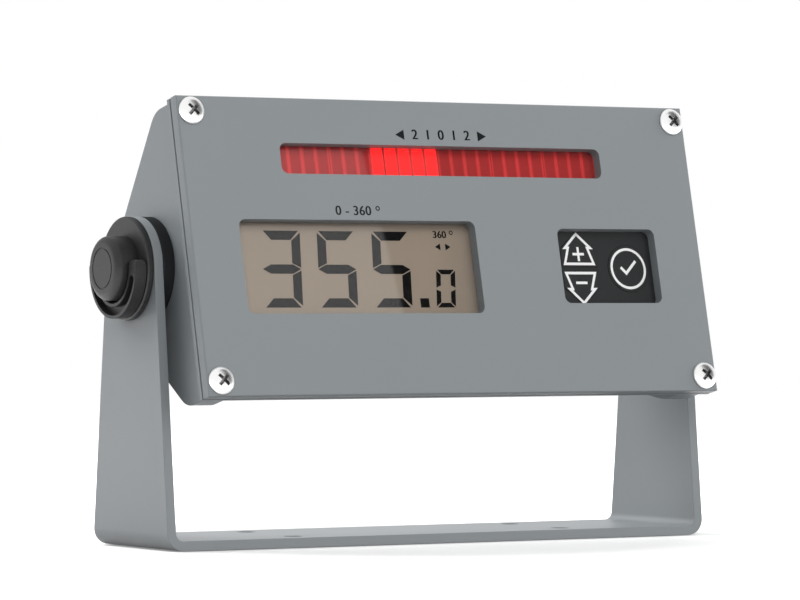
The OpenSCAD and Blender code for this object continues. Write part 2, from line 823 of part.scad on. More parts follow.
module knob_barrel() {
    difference() {
        on_axis(barrel_x) rotate_extrude() polygon(rounded(
            [[0, 0], [barrel_r, 0], [barrel_r, barrel_len], [0, barrel_len]],
            [0, 0, barrel_edge_r, 0]));
        on_axis(barrel_x - overrun) cylinder(r = stud_r + fit_gap, h = stud_end_x - barrel_x + overrun);
        on_axis(knob_end_x - face_ring_h) difference() {
            cylinder(r = face_ring_r + face_ring_w / 2, h = face_ring_h + overrun);
            cylinder(r = face_ring_r - face_ring_w / 2, h = face_ring_h + overrun);
        }
        for (side = [-1, 1]) grip_pin_place(side)
            cylinder(r = pin_r + fit_gap, h = pin_depth + overrun);
    }
}

// Place of a grip pin's inner end, pointing outwards
module grip_pin_place(side) {
    translate([grip_mid_x, side * (barrel_r - pin_depth), pivot_h + grip_axis_v]) rotate([-90 * side, 0, 0])
        children();
}

module grip_pins() {
    for (side = [-1, 1]) grip_pin_place(side)
        cylinder(r = pin_r, h = pin_reach);
}

// Round-ended slot along an arc about the origin
function arc_slot(mid_r, half_w, from, to) = concat(
    arc(mid_r + half_w, from, to, groove_steps),
    [for (p = arc(half_w, to, to + 180, corner_steps)) mid_r * [cos(to), sin(to)] + p],
    arc(mid_r - half_w, to, from, groove_steps),
    [for (p = arc(half_w, from + 180, from + 360, corner_steps)) mid_r * [cos(from), sin(from)] + p]);

module grip() {
    ear_in = grip_bore_r + grip_ear_in;
    ear_w = grip_r - grip_ear_out - ear_in;
    low = -grip_t / 2;
    difference() {
        union() {
            on_axis(grip_x) difference() {
                cylinder(r = grip_r, h = grip_t);
                translate([0, 0, -overrun]) cylinder(r = grip_bore_r, h = grip_t + 2 * overrun);
                translate([-grip_r - grip_axis_v, 0, grip_t / 2])
                    cube([2 * grip_r, 2 * grip_r + overrun, grip_t + overrun], center = true);
            }
            for (side = [-1, 1])
                translate([grip_mid_x, side * (ear_in + ear_w / 2) + ear_w / 2, pivot_h + grip_axis_v])
                    rotate([90, 0, 0]) linear_extrude(ear_w) polygon(concat(
                        [[low, low], [-low, low]], arc(grip_t / 2, 0, 180, 2 * corner_steps)));
        }
        on_axis(grip_x + grip_floor) linear_extrude(grip_t) polygon(arc_slot(
            (grip_r + grip_bore_r) / 2, (grip_r - grip_bore_r) / 2 - grip_wall,
            groove_start_a - 90, 90 - groove_start_a));
        for (side = [-1, 1]) grip_pin_place(side)
            cylinder(r = pin_r + pin_gap, h = pin_reach + pin_gap);
    }
}

module stud() {
    on_axis(stud_inner_x) cylinder(r = stud_r, h = stud_end_x - stud_inner_x);
}

bracket();
rear_housing();
front_lid();
lid_gasket();
lid_screws();
bar_filter();
bar_modules();
bar_segments();
lcd_window();
lcd_glass();
lcd_frame();
lcd_backlight();
keypad_overlay();
arrow_key(1);  // key_up
arrow_key(-1);  // key_down
key_set();
key_switches();
main_board();
board_standoffs();
board_screws();
processor_chip();
driver_chips();
capacitors();
terminal_block();
terminal_screws();
gland_body();
gland_washer();
gland_seal();
gland_nut();
gland_locknut();
color("goldenrod") on_side(-1) insert_sleeve();  // insert_left
color("goldenrod") on_side(1) insert_sleeve();  // insert_right
color("black") on_side(-1) clamp_disc(housing_w / 2, spacer_t);  // spacer_left
color("black") on_side(1) clamp_disc(housing_w / 2, spacer_t);  // spacer_right
color("dimgray") on_side(-1) clamp_disc(washer_x, washer_t);  // washer_left
color("dimgray") on_side(1) clamp_disc(washer_x, washer_t);  // washer_right
color("dimgray") on_clamp(-1) knob_barrel();  // knob_left
color("dimgray") on_clamp(1) knob_barrel();  // knob_right
color("silver") on_clamp(-1) stud();  // stud_left
color("silver") on_clamp(1) stud();  // stud_right
color("dimgray") on_clamp(-1) grip();  // grip_left
color("dimgray") on_clamp(1) grip();  // grip_right
color("silver") on_clamp(-1) grip_pins();  // grip_pins_left
color("silver") on_clamp(1) grip_pins();  // grip_pins_right
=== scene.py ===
import json
import math

import bmesh
import bpy
from mathutils import Matrix, Vector


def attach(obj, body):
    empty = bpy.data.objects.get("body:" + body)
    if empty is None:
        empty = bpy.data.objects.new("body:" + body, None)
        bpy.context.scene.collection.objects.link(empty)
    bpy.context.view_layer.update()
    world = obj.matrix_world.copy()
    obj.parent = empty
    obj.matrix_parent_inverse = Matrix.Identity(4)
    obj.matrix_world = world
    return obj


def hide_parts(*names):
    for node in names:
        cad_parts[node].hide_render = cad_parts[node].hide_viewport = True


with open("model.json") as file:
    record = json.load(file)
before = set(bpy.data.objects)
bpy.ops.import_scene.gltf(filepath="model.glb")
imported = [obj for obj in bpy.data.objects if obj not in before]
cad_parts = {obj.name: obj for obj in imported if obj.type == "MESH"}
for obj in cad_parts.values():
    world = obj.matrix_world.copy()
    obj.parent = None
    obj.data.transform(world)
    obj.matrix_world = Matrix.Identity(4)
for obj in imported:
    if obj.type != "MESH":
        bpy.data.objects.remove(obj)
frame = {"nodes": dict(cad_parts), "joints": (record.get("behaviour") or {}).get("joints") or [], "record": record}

# Looks of a compass repeater display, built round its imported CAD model.
# Lengths in the tables are millimetres, and those of the studio are metres.
# Panel places are (u, v): u to the right and v up the lid, from the middle of its face.
# d is the depth behind that face.

MM = 0.001
nodes = frame["nodes"]
joints = {joint["name"]: joint for joint in frame["joints"]}
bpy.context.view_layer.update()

# Edges: faces that meet at less than CREASE shade smooth, and sharper edges get a small round.
CREASE = math.radians(32)
FLAT_ANGLE = math.radians(0.5)
WELD_REACH = 0.001
EDGE_STEPS = 2
EDGE_RADII = {
    "bracket": 0.35, "rear_housing": 0.4, "front_lid": 1.0, "knob_left": 0.3, "knob_right": 0.3,
    "grip_left": 0.25, "grip_right": 0.25, "grip_pins_left": 0.15, "grip_pins_right": 0.15,
    "spacer_left": 0.2, "spacer_right": 0.2, "washer_left": 0.2, "washer_right": 0.2,
    "gland_body": 0.3, "gland_nut": 0.3, "gland_washer": 0.15, "gland_seal": 0.2,
    "terminal_block": 0.15, "capacitors": 0.5,
}
GRIP_PINS = ("grip_pins_left", "grip_pins_right")
PANES = ("bar_filter", "lcd_window")

# Colors shared by several shaders.
BLACK = (0, 0, 0, 1)
WHITE = (1, 1, 1, 1)

FINISHES = {
    "bracket_paint": dict(color=(0.270, 0.290, 0.303), roughness=0.42, grain=0.35, patch=60, relief=0.006),
    "housing_paint": dict(color=(0.262, 0.283, 0.296), roughness=0.44, grain=0.35, patch=60, relief=0.006),
    "black_rubber": dict(color=(0.006, 0.007, 0.008), roughness=0.62, grain=0.25, shade=0.15, relief=0.01,
                         Specular_IOR_Level=0.3),
    "stainless": dict(color=(0.93, 0.93, 0.925), roughness=0.3, grain=0.2, shade=0.01, uneven=0.015,
                      relief=0, Metallic=1.0),
    "pin_steel": dict(color=(0.10, 0.10, 0.10), roughness=0.45, grain=0.2, relief=0, Metallic=1.0),
    # Painted shade: the steel inside the cross recess of the lid screws is darker than the head.
    "screw_recess_painted_shade": dict(color=(0.32, 0.32, 0.32), roughness=0.4, grain=0.2, relief=0, Metallic=1.0),
    "red_pane": dict(color=(0.95, 0.30, 0.30), roughness=0.01, patch=40, shade=0.02, uneven=0.006, relief=0,
                     Transmission_Weight=1.0, IOR=1.4),
    "bar_case": dict(color=(0.98, 0.35, 0.35), roughness=0.5, grain=0.3),
    "bar_light": dict(color=(0.60, 0.21, 0.21), roughness=0.45, grain=0.3, shade=0.05),
    "clear_pane": dict(color=(0.97, 0.97, 0.96), roughness=0.006, patch=40, shade=0.01, uneven=0.004,
                       relief=0, Transmission_Weight=1.0, IOR=1.4),
    "lcd_cell": dict(color=(0.47, 0.385, 0.31), roughness=0.55, grain=0.12, patch=25, shade=0.015, relief=0,
                     Specular_IOR_Level=0.2),
    "black_plastic": dict(color=(0.02, 0.02, 0.021), roughness=0.5, grain=0.3),
    "light_guide": dict(color=(0.80, 0.80, 0.78), roughness=0.35, grain=0.6),
    "key_film": dict(color=(0.015, 0.016, 0.017), roughness=0.38, grain=0.3, patch=8, shade=0.12),
    "board_green": dict(color=(0.015, 0.12, 0.05), roughness=0.35, grain=0.4),
    "brass": dict(color=(0.72, 0.52, 0.22), roughness=0.28, grain=0.3, relief=0.002, Metallic=1.0),
    "capacitor_can": dict(color=(0.03, 0.05, 0.2), roughness=0.3, grain=0.4),
    "terminal_green": dict(color=(0.02, 0.3, 0.15), roughness=0.42, grain=0.3),
    "gland_nylon": dict(color=(0.020, 0.021, 0.023), roughness=0.5, grain=0.3, relief=0.012),
    "knob_plastic": dict(color=(0.007, 0.007, 0.0075), roughness=0.5, grain=0.3, relief=0.008),
    "legend_ink": dict(color=(0.017, 0.019, 0.021), roughness=0.05, grain=0.2, shade=0.1, relief=0),
    "key_ink": dict(color=(0.95, 0.95, 0.95), roughness=0.45, grain=0.2, shade=0.02),
    "lcd_ink": dict(color=(0.006, 0.006, 0.006), roughness=0.6, grain=0.2, shade=0.1, relief=0,
                    Specular_IOR_Level=0.1),
}
FLECKS = {
    "gland_nylon": dict(fleck=(0.08, 0.08, 0.08), size=0.35, share=0.25),
    "knob_plastic": dict(fleck=(0.03, 0.03, 0.03), size=0.35, share=0.2),
}
FLECK_REACH = 0.32

# Turn bar: where along X it is lit, and the pale rims between its segments, which take the case's colour and, on
# unlit segments, a painted red glow.
LIT_BAR = (-25.65, 0.6)
BAR_SEGMENTS = 24
RIM_REACH = 1.1
RIM_COLOR = (0.98, 0.35, 0.35, 1)
# Painted glow: the rims of unlit segments shine red though nothing lights them.
PAINTED_RIM_GLOW = (0.22, 0.01, 0.01, 1)
LIT_GLOW = (1.0, 0.035, 0.035, 1)
GLOW_STRENGTH = 1.1

# Copper tracks on the board.
TRACK_PITCH = 2.54
TRACK_COLOR = (0.05, 0.24, 0.10, 1)

# Lid screws.
SCREW_HEAD_R = 4.6
SCREW_HEAD_H = 2.3
SCREW_CROWN = 0.35
SCREW_RIM = 0.2
SCREW_SHANK_R = 2.45
SCREW_LENGTH = 16.0
SCREW_TIP = 0.6
SCREW_TIP_SHARE = 0.8
SCREW_EDGE = 0.08
SCREW_STEPS = 64
DOME_STEPS = 14
RECESS_WING = 1.25
RECESS_REACH = 5.5
RECESS_DEPTH = 1.8
RECESS_OVERRUN = 0.5
RECESS_FOOT_SHARE = 0.6
RECESS_TURNS = (45, 135)

# Plates, bands and numerals. Corners that agree to CORNER_DIGITS are one, and a numeral's height is
# given as a share of its type size.
CORNER_DIGITS = 5
RING_STEPS = 72
DEGREE_STEPS = 24
MITRE_LIMIT = 0.2
NUMERAL_HEIGHT = 0.73
NUMERAL_SPACING = 1.05
STRIKE_SHIFT = 0.12

# Number display. SEGMENTS names the lit segments of each numeral, and HEADING gives each digit's
# left edge. POINT is the decimal point's place, width and height.
BIG_DIGIT = {"width": 14.4, "height": 25.8, "slant": 1.95, "across": 3.3, "along": 3.1,
             "gap": 0.56, "cut": 0.6}
SMALL_DIGIT = {"width": 7.4, "height": 12.9, "slant": 1.4, "across": 1.75, "along": 1.55,
               "gap": 0.4, "cut": 0.4}
SIDE_GAP_SHARE = 1.6
DIGIT_FOOT = -12.7
SEGMENTS = {"0": "abcdef", "1": "bc", "2": "abdeg", "3": "abcdg", "4": "bcfg", "5": "acdfg",
            "6": "acdefg", "7": "abc", "8": "abcdefg", "9": "abcdfg"}
HEADING = ((-36.3, "3", BIG_DIGIT), (-15.45, "5", BIG_DIGIT), (5.4, "5", BIG_DIGIT),
           (29.3, "0", SMALL_DIGIT))
POINT = (24.85, -11.15, 3.4, 3.15)
LCD_INK_T = 0.04
LCD_RANGE = {"text": "360", "u": 33.6, "v": 12.1, "height": 2.5}
LCD_DEGREE = {"u": 38.2, "v": 12.9, "radius": 0.75, "line": 0.3}
LCD_MARKS = (((31.4, 8.0), (33.4, 6.85), (33.4, 9.15)), ((37.4, 8.0), (35.4, 9.15), (35.4, 6.85)))

# Key prints. ARROW_HALF is the right side of the up arrow below its tip, from the middle of the
# pair of keys, and KEY_SIGNS gives the height, width and thickness of each sign's bars.
INK_T = 0.02
KEY_LINE = 0.9
ARROW_TIP = 12.65
ARROW_HALF = ((6.2, 6.75), (4.5, 6.75), (6.45, 1.15))
KEY_SIGNS = {"key_up": ((5.0, 4.6, KEY_LINE), (6.45, KEY_LINE, 2.0), (3.55, KEY_LINE, 2.0)),
             "key_down": ((-5.0, 4.6, KEY_LINE),)}
RING_R = 7.2
TICK = ((-3.4, 0.1), (-2.7, 0.85), (-1.0, -0.9), (2.9, 3.0), (3.6, 2.3), (-1.0, -2.3))

# Lid prints: the scale above the turn bar, and the range above the number display.
SCALE_RISE = 8.8
SCALE_HEIGHT = 3.5
SCALE_NUMERALS = (("2", -10.2), ("1", -5.1), ("0", 0), ("1", 5.1), ("2", 10.2))
SCALE_ARROW = {"tip": 17.8, "length": 3.4, "half": 1.75}
RANGE_RISE = 18.8
RANGE_TEXT = {"text": "0 - 360", "u": -1.4, "height": 3.3}
RANGE_DEGREE = {"u": 8.0, "v": 1.0, "radius": 0.85, "line": 0.4}

# Camera of the photograph.
SENSOR_W = 36
LENS = 202.343
LENS_SHIFT = -0.0011
CAMERA_PLACE = (-0.7867282, -1.3057118, 0.0814078)
CAMERA_TURN = (90, 0, -31.014)
CAMERA_CLIP = (0.05, 50)

# Studio light. Each lamp has its place, size and power. A path with fewer diffuse bounces than
# UNBOUNCED has met no matt surface yet.
AMBIENT = 0.24
AMBIENT_COLOR = (0.97, 0.985, 1.0, 1)
UNBOUNCED = 0.5
LAMP_AIM = (0, 0, 0.06)
LAMPS = {
    "back": ((-0.5, 0.9, 1.1), 1.2, 24),
    "left": ((-1.45, 0.5, 0.35), 0.8, 1.5),
    "front": ((0.55, -1.35, 0.75), 1.0, 8),
    "front_left": ((-0.7, -1.4, 0.9), 1.0, 10),
    "right": ((1.4, -0.3, 0.6), 1.0, 10),
}

# Floor: its glow rises with the distance from the middle, and it fades out between two shares of
# its radius.
FLOOR_R = 2.5
FLOOR_STEPS = 96
FLOOR_DROP = 0.0002
FLOOR_FADE = (0.35, 0.95)
FLOOR_ALBEDO = 0.9
FLOOR_BOUNCE = 0.2
FLOOR_UNDER = 0.08
FLOOR_GLOW = (0.15, 1.0)
FLOOR_GLOW_R = (0.09, 0.2)

# Dark card: CARD_EDGE is where the panes show its edge, as two panel places.
PANE_DEPTH = 4.0
CARD_EDGE = ((-29.9, 32), (-21.5, -20))
CARD_REACH = 1.6
CARD_W = 1.6
CARD_BELOW = 0.5
CARD_ABOVE = 1.5
CARD_SIDE_STEP = 50
CARD_SOFT = 0.004
CARD_LEVEL = 0.03


# The panel's own axes

RIGHT = Vector((1, 0, 0))
INWARD = Vector(joints["key_up_press"]["axis"]).normalized()
UP = RIGHT.cross(INWARD)


def span(node, axis):
    """How far a CAD node reaches along an axis, lowest and highest."""
    reach = [axis.dot(vertex.co) for vertex in nodes[node].data.vertices]
    return min(reach), max(reach)


FACE = INWARD * span("front_lid", INWARD)[0] + UP * sum(span("front_lid", UP)) / 2


def on_panel(u, v, d=0.0):
    """Point of the frame at panel place (u, v), d behind the lid's face."""
    return FACE + (RIGHT * u + UP * v + INWARD * d) * MM


def panel_middle(node):
    """Middle of a CAD node across and up the panel, and the depth of its front."""
    u = sum(span(node, RIGHT)) / 2
    v = sum(span(node, UP)) / 2 - UP.dot(FACE)
    d = span(node, INWARD)[0] - INWARD.dot(FACE)
    return u / MM, v / MM, d / MM


# Node tools

def add_node(tree, kind, values=None, **settings):
    """A shader node with its settings, and its sockets set or linked."""
    node = tree.nodes.new(kind)
    for name, value in settings.items():
        setattr(node, name, value)
    for socket, value in (values or {}).items():
        if isinstance(value, bpy.types.NodeSocket):
            tree.links.new(value, node.inputs[socket])
        else:
            node.inputs[socket].default_value = value
    return node


def math_node(tree, operation, *values, clamp=False):
    """Result of one sum on numbers or sockets."""
    return add_node(tree, "ShaderNodeMath", dict(enumerate(values)),
                    operation=operation, use_clamp=clamp).outputs[0]


def mix_color(tree, factor, first, second):
    """Color between two, by a factor."""
    return add_node(tree, "ShaderNodeMix", {"Factor": factor, "A": first, "B": second},
                    data_type="RGBA").outputs["Result"]


def group_node(tree, group, values):
    """A node that uses one of the shared groups."""
    return add_node(tree, "ShaderNodeGroup", values, node_tree=group)


def new_group(name, inputs, outputs):
    """Shader node group with named float or color sockets."""
    kinds = {"float": "NodeSocketFloat", "color": "NodeSocketColor"}
    tree = bpy.data.node_groups.new(name, "ShaderNodeTree")
    for direction, table in (("INPUT", inputs), ("OUTPUT", outputs)):
        for socket, kind in table.items():
            tree.interface.new_socket(socket, in_out=direction, socket_type=kinds[kind])
    source = tree.nodes.new("NodeGroupInput").outputs
    result = tree.nodes.new("NodeGroupOutput").inputs
    return tree, source, result


def object_place(tree):
    """Place on the surface in the piece's own axes, which move with it."""
    return tree.nodes.new("ShaderNodeTexCoord").outputs["Object"]


def object_x(tree):
    """Place along X in the piece's own axes."""
    return add_node(tree, "ShaderNodeSeparateXYZ", {"Vector": object_place(tree)}).outputs["X"]


def per_length(tree, length):
    """Scale of a texture whose features have a length in millimetres."""
    return math_node(tree, "DIVIDE", 1 / MM, length)


def swing(tree, fac, spread):
    """Turns a noise value of 0 to 1 into a swing of spread to either side of zero."""
    centred = math_node(tree, "SUBTRACT", fac, 0.5)
    return math_node(tree, "MULTIPLY", math_node(tree, "MULTIPLY", centred, spread), 2.0)


# Shared shader groups

def build_surface_grain():
    """Fine grain for roughness and relief, and slow patches of shade, both sized in millimetres."""
    tree, given, result = new_group(
        "surface_grain",
        {"Color": "color", "Shade Spread": "float", "Roughness": "float", "Roughness Spread": "float",
         "Grain mm": "float", "Patch mm": "float"},
        {"Color": "color", "Roughness": "float", "Height": "float"})
    place = object_place(tree)
    grain = add_node(tree, "ShaderNodeTexNoise", {
        "Vector": place, "Scale": per_length(tree, given["Grain mm"]),
        "Detail": 3.0, "Roughness": 0.55}).outputs[0]
    patch = add_node(tree, "ShaderNodeTexNoise", {
        "Vector": place, "Scale": per_length(tree, given["Patch mm"]),
        "Detail": 2.0, "Roughness": 0.5}).outputs[0]
    shade = math_node(tree, "ADD", 1.0, swing(tree, patch, given["Shade Spread"]))
    color = add_node(tree, "ShaderNodeVectorMath", {0: given["Color"], "Scale": shade}, operation="SCALE")
    tree.links.new(color.outputs[0], result["Color"])
    rough = math_node(tree, "ADD", given["Roughness"], swing(tree, grain, given["Roughness Spread"]),
                      clamp=True)
    tree.links.new(rough, result["Roughness"])
    tree.links.new(grain, result["Height"])
    return tree


def build_fibre_flecks():
    """Small pale flecks in a dark moulding, as glass-filled nylon shows at its skin."""
    tree, given, result = new_group(
        "fibre_flecks", {"Color": "color", "Fleck Color": "color", "Size mm": "float", "Share": "float"},
        {"Color": "color"})
    cells = add_node(tree, "ShaderNodeTexVoronoi", {
        "Vector": object_place(tree), "Scale": per_length(tree, given["Size mm"])}).outputs
    near = math_node(tree, "LESS_THAN", cells["Distance"], FLECK_REACH)
    draw = add_node(tree, "ShaderNodeSeparateColor", {"Color": cells["Color"]}).outputs[0]
    mask = math_node(tree, "MULTIPLY", near, math_node(tree, "LESS_THAN", draw, given["Share"]))
    tree.links.new(mix_color(tree, mask, given["Color"], given["Fleck Color"]), result["Color"])
    return tree


def build_lit_span():
    """One between two places along X, and zero elsewhere."""
    tree, given, result = new_group("lit_span", {"From": "float", "To": "float"}, {"Mask": "float"})
    across = object_x(tree)
    above = math_node(tree, "GREATER_THAN", across, given["From"])
    below = math_node(tree, "LESS_THAN", across, given["To"])
    tree.links.new(math_node(tree, "MULTIPLY", above, below), result["Mask"])
    return tree


def build_segment_rims():
    """One at the ends of segments set out along X, fading to zero inside each."""
    tree, given, result = new_group("segment_rims", {"Start": "float", "Pitch": "float", "Reach": "float"},
                                    {"Mask": "float"})
    from_start = math_node(tree, "SUBTRACT", object_x(tree), given["Start"])
    turns = math_node(tree, "DIVIDE", from_start, given["Pitch"])
    nearest = math_node(tree, "ROUND", turns)
    away = math_node(tree, "ABSOLUTE", math_node(tree, "SUBTRACT", turns, nearest))
    mask = add_node(tree, "ShaderNodeMapRange", {
        "Value": math_node(tree, "MULTIPLY", away, given["Pitch"]),
        "From Min": given["Reach"], "From Max": 0.0}, interpolation_type="SMOOTHSTEP").outputs[0]
    tree.links.new(mask, result["Mask"])
    return tree


def build_board_tracks():
    """Copper tracks under solder mask, as a mask of thin lines."""
    tree, given, result = new_group("board_tracks", {"Pitch mm": "float"}, {"Mask": "float"})
    bricks = add_node(tree, "ShaderNodeTexBrick", {
        "Vector": object_place(tree), "Scale": per_length(tree, given["Pitch mm"]),
        "Color1": BLACK, "Color2": BLACK, "Mortar": WHITE, "Mortar Size": 0.06})
    tree.links.new(bricks.outputs["Fac"], result["Mask"])
    return tree


SURFACE_GRAIN = build_surface_grain()
FIBRE_FLECKS = build_fibre_flecks()
LIT_SPAN = build_lit_span()
SEGMENT_RIMS = build_segment_rims()
BOARD_TRACKS = build_board_tracks()


# Finishes

def finish(name, color, roughness, grain=0.5, patch=30.0, shade=0.03, uneven=0.04, relief=0.004,
           **constants):
    """Material with its grain: color and roughness vary over the surface, and relief lifts the grain, in mm.

    Other settings go to the shader's own sockets, with underscores for the spaces in their names.
    """
    material = bpy.data.materials.new(name)
    material.use_nodes = True
    tree = material.node_tree
    sockets = tree.nodes["Principled BSDF"].inputs
    grained = group_node(tree, SURFACE_GRAIN, {
        "Color": (*color, 1), "Shade Spread": shade, "Roughness": roughness, "Roughness Spread": uneven,
        "Grain mm": grain, "Patch mm": patch}).outputs
    tree.links.new(grained["Color"], sockets["Base Color"])
    tree.links.new(grained["Roughness"], sockets["Roughness"])
    if relief:
        bump = add_node(tree, "ShaderNodeBump", {
            "Height": grained["Height"], "Distance": relief * MM, "Strength": 1.0})
        tree.links.new(bump.outputs["Normal"], sockets["Normal"])
    for socket, value in constants.items():
        sockets[socket.replace("_", " ")].default_value = value
    return material


def recolor(material, change):
    """Puts a change between a finish and its base color. change takes the color's socket to a new one."""
    base = material.node_tree.nodes["Principled BSDF"].inputs["Base Color"]
    material.node_tree.links.new(change(base.links[0].from_socket), base)


def add_flecks(material, fleck, size, share):
    """Adds pale fibre flecks to a finish."""
    recolor(material, lambda color: group_node(material.node_tree, FIBRE_FLECKS, {
        "Color": color, "Fleck Color": (*fleck, 1), "Size mm": size, "Share": share}).outputs["Color"])


def add_bar_light(material):
    """Lights a span of the turn bar, and gives its segments pale rims, with a painted red glow at the rims of the
    unlit ones.
    """
    tree = material.node_tree
    lit = group_node(tree, LIT_SPAN, {"From": LIT_BAR[0] * MM, "To": LIT_BAR[1] * MM})
    start, end = span("bar_modules", RIGHT)
    rims = group_node(tree, SEGMENT_RIMS, {
        "Start": start, "Pitch": (end - start) / BAR_SEGMENTS, "Reach": RIM_REACH * MM}).outputs["Mask"]
    # Unlit segments glow red at their rims, which is painted light. The lit span glows as the bar's lamps do.
    lit_and_painted_glow = mix_color(tree, lit.outputs["Mask"], mix_color(tree, rims, BLACK, PAINTED_RIM_GLOW), LIT_GLOW)
    sockets = tree.nodes["Principled BSDF"].inputs
    tree.links.new(lit_and_painted_glow, sockets["Emission Color"])
    sockets["Emission Strength"].default_value = GLOW_STRENGTH
    recolor(material, lambda color: mix_color(tree, rims, color, RIM_COLOR))


def add_board_tracks(material):
    """Draws the board's tracks in a finish."""
    tree = material.node_tree
    tracks = group_node(tree, BOARD_TRACKS, {"Pitch mm": TRACK_PITCH}).outputs["Mask"]
    recolor(material, lambda color: mix_color(tree, tracks, color, TRACK_COLOR))


def build_finishes():
    made = {name: finish(name, **settings) for name, settings in FINISHES.items()}
    for name, settings in FLECKS.items():
        add_flecks(made[name], **settings)
    add_bar_light(made["bar_light"])
    add_board_tracks(made["board_green"])
    return made


finishes = build_finishes()


# Carried-over CAD nodes

def build_crease_shading():
    """Geometry nodes that shade the faces smooth up to a crease angle."""
    tree = bpy.data.node_groups.new("crease_shading", "GeometryNodeTree")
    tree.interface.new_socket("Geometry", in_out="INPUT", socket_type="NodeSocketGeometry")
    tree.interface.new_socket("Geometry", in_out="OUTPUT", socket_type="NodeSocketGeometry")
    source = tree.nodes.new("NodeGroupInput").outputs[0]
    edge_angle = tree.nodes.new("GeometryNodeInputMeshEdgeAngle").outputs[0]
    below = add_node(tree, "FunctionNodeCompare", {0: edge_angle, 1: CREASE},
                     data_type="FLOAT", operation="LESS_THAN").outputs[0]
    faces = add_node(tree, "GeometryNodeSetShadeSmooth", {"Geometry": source, "Shade Smooth": True})
    edges = add_node(tree, "GeometryNodeSetShadeSmooth", {
        "Geometry": faces.outputs[0], "Shade Smooth": below}, domain="EDGE")
    tree.links.new(edges.outputs[0], tree.nodes.new("NodeGroupOutput").inputs[0])
    return tree


crease_shading = build_crease_shading()


def soften(piece, width):
    """Rounds a piece's sharp edges by width, in mm, and shades the rest smooth."""
    piece.modifiers.new("creases", "NODES").node_group = crease_shading
    if width:
        bevel = piece.modifiers.new("edges", "BEVEL")
        bevel.width = width * MM
        bevel.segments = EDGE_STEPS
        bevel.limit_method = "ANGLE"
        bevel.angle_limit = CREASE
        bevel.use_clamp_overlap = True
        bevel.harden_normals = True
        bevel.miter_outer = "MITER_ARC"


def dress_node(name, slot, width):
    """Gives a CAD node its finish, with real small edge radii."""
    piece = nodes[name]
    piece.data.materials.clear()
    piece.data.materials.append(finishes[slot])
    weld = piece.modifiers.new("weld", "WELD")
    weld.merge_threshold = WELD_REACH * MM
    flat = piece.modifiers.new("flats", "DECIMATE")
    flat.decimate_type = "DISSOLVE"
    flat.angle_limit = FLAT_ANGLE
    soften(piece, width)


def dress_nodes():
    """Gives every CAD node but the lid screws, which get new meshes, the finish of its material slot, save the
    grip pins, which get dark steel.
    """
    slots = {part["node"]: part["material_slot"] for part in frame["record"]["subparts"]}
    for name in nodes:
        if name != "lid_screws":
            dress_node(name, "pin_steel" if name in GRIP_PINS else slots[name], EDGE_RADII.get(name, 0))
    for name in PANES:
        nodes[name].visible_shadow = False


# Building new pieces

def put_object(name, data):
    """A new object in the scene."""
    made = bpy.data.objects.new(name, data)
    bpy.context.scene.collection.objects.link(made)
    return made


def finished_mesh(name, made):
    """Mesh of a bmesh, which is freed."""
    mesh = bpy.data.meshes.new(name)
    made.to_mesh(mesh)
    made.free()
    return mesh


def evaluated_mesh(holder):
    """New mesh of an object with its modifiers, or of a text's outlines."""
    bpy.context.view_layer.update()
    return bpy.data.meshes.new_from_object(holder.evaluated_get(bpy.context.evaluated_depsgraph_get()))


def add_piece(name, mesh, body, finish_name=None):
    """Puts a mesh in the scene, riding on a CAD body. Without a finish_name it keeps its own finishes."""
    piece = put_object(name, mesh)
    if finish_name:
        mesh.materials.append(finishes[finish_name])
    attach(piece, body)
    return piece


def joined(name, meshes):
    """One mesh of several."""
    made = bmesh.new()
    for mesh in meshes:
        made.from_mesh(mesh)
        bpy.data.meshes.remove(mesh)
    bmesh.ops.recalc_face_normals(made, faces=made.faces)
    return finished_mesh(name, made)


def plate_mesh(name, faces, front, back):
    """Flat shapes on the panel, from depth front to depth back. faces are lists of (u, v) corners."""
    made = bmesh.new()
    corners = {}
    for face in faces:
        ring = []
        for u, v in face:
            key = (round(u, CORNER_DIGITS), round(v, CORNER_DIGITS))
            if key not in corners:
                corners[key] = made.verts.new(on_panel(u, v, front))
            ring.append(corners[key])
        made.faces.new(ring)
    # The back and the walls are made in a fixed order, so the mesh comes out alike in each run.
    rims = [edge for edge in made.edges if edge.is_boundary]
    inward = INWARD * (back - front) * MM
    behind = {vertex: made.verts.new(vertex.co + inward) for vertex in corners.values()}
    for face in list(made.faces):
        made.faces.new([behind[vertex] for vertex in face.verts])
    for rim in rims:
        first, second = rim.verts
        made.faces.new((first, second, behind[second], behind[first]))
    bmesh.ops.recalc_face_normals(made, faces=made.faces)
    return finished_mesh(name, made)


def shifted(shape, u, v):
    """Points of a shape, moved by (u, v)."""
    return [(u + x, v + y) for x, y in shape]


def band(outline, width):
    """Quads of a closed band of a width, drawn inwards from an outline that runs counter-clockwise."""
    count = len(outline)
    inner = []
    for i in range(count):
        before, here, after = (Vector(outline[(i + k) % count]) for k in (-1, 0, 1))
        first, second = (here - before).normalized(), (after - here).normalized()
        normals = Vector((-first.y, first.x)), Vector((-second.y, second.x))
        middle = (normals[0] + normals[1]).normalized()
        inner.append(tuple(here + middle * width / max(MITRE_LIMIT, middle.dot(normals[0]))))
    return [[outline[i], outline[(i + 1) % count], inner[(i + 1) % count], inner[i]]
            for i in range(count)]


def circle(u, v, radius, steps):
    """Outline of a circle about (u, v), counter-clockwise."""
    return [(u + radius * math.cos(math.tau * i / steps), v + radius * math.sin(math.tau * i / steps))
            for i in range(steps)]


def bar_shape(u, v, width, height):
    """Upright rectangle about (u, v)."""
    return [(u - width / 2, v - height / 2), (u + width / 2, v - height / 2),
            (u + width / 2, v + height / 2), (u - width / 2, v + height / 2)]


def degree_sign(name, u, v, radius, line, front, back):
    """Small ring about (u, v) on the panel."""
    return plate_mesh(name, band(circle(u, v, radius, DEGREE_STEPS), line), front, back)


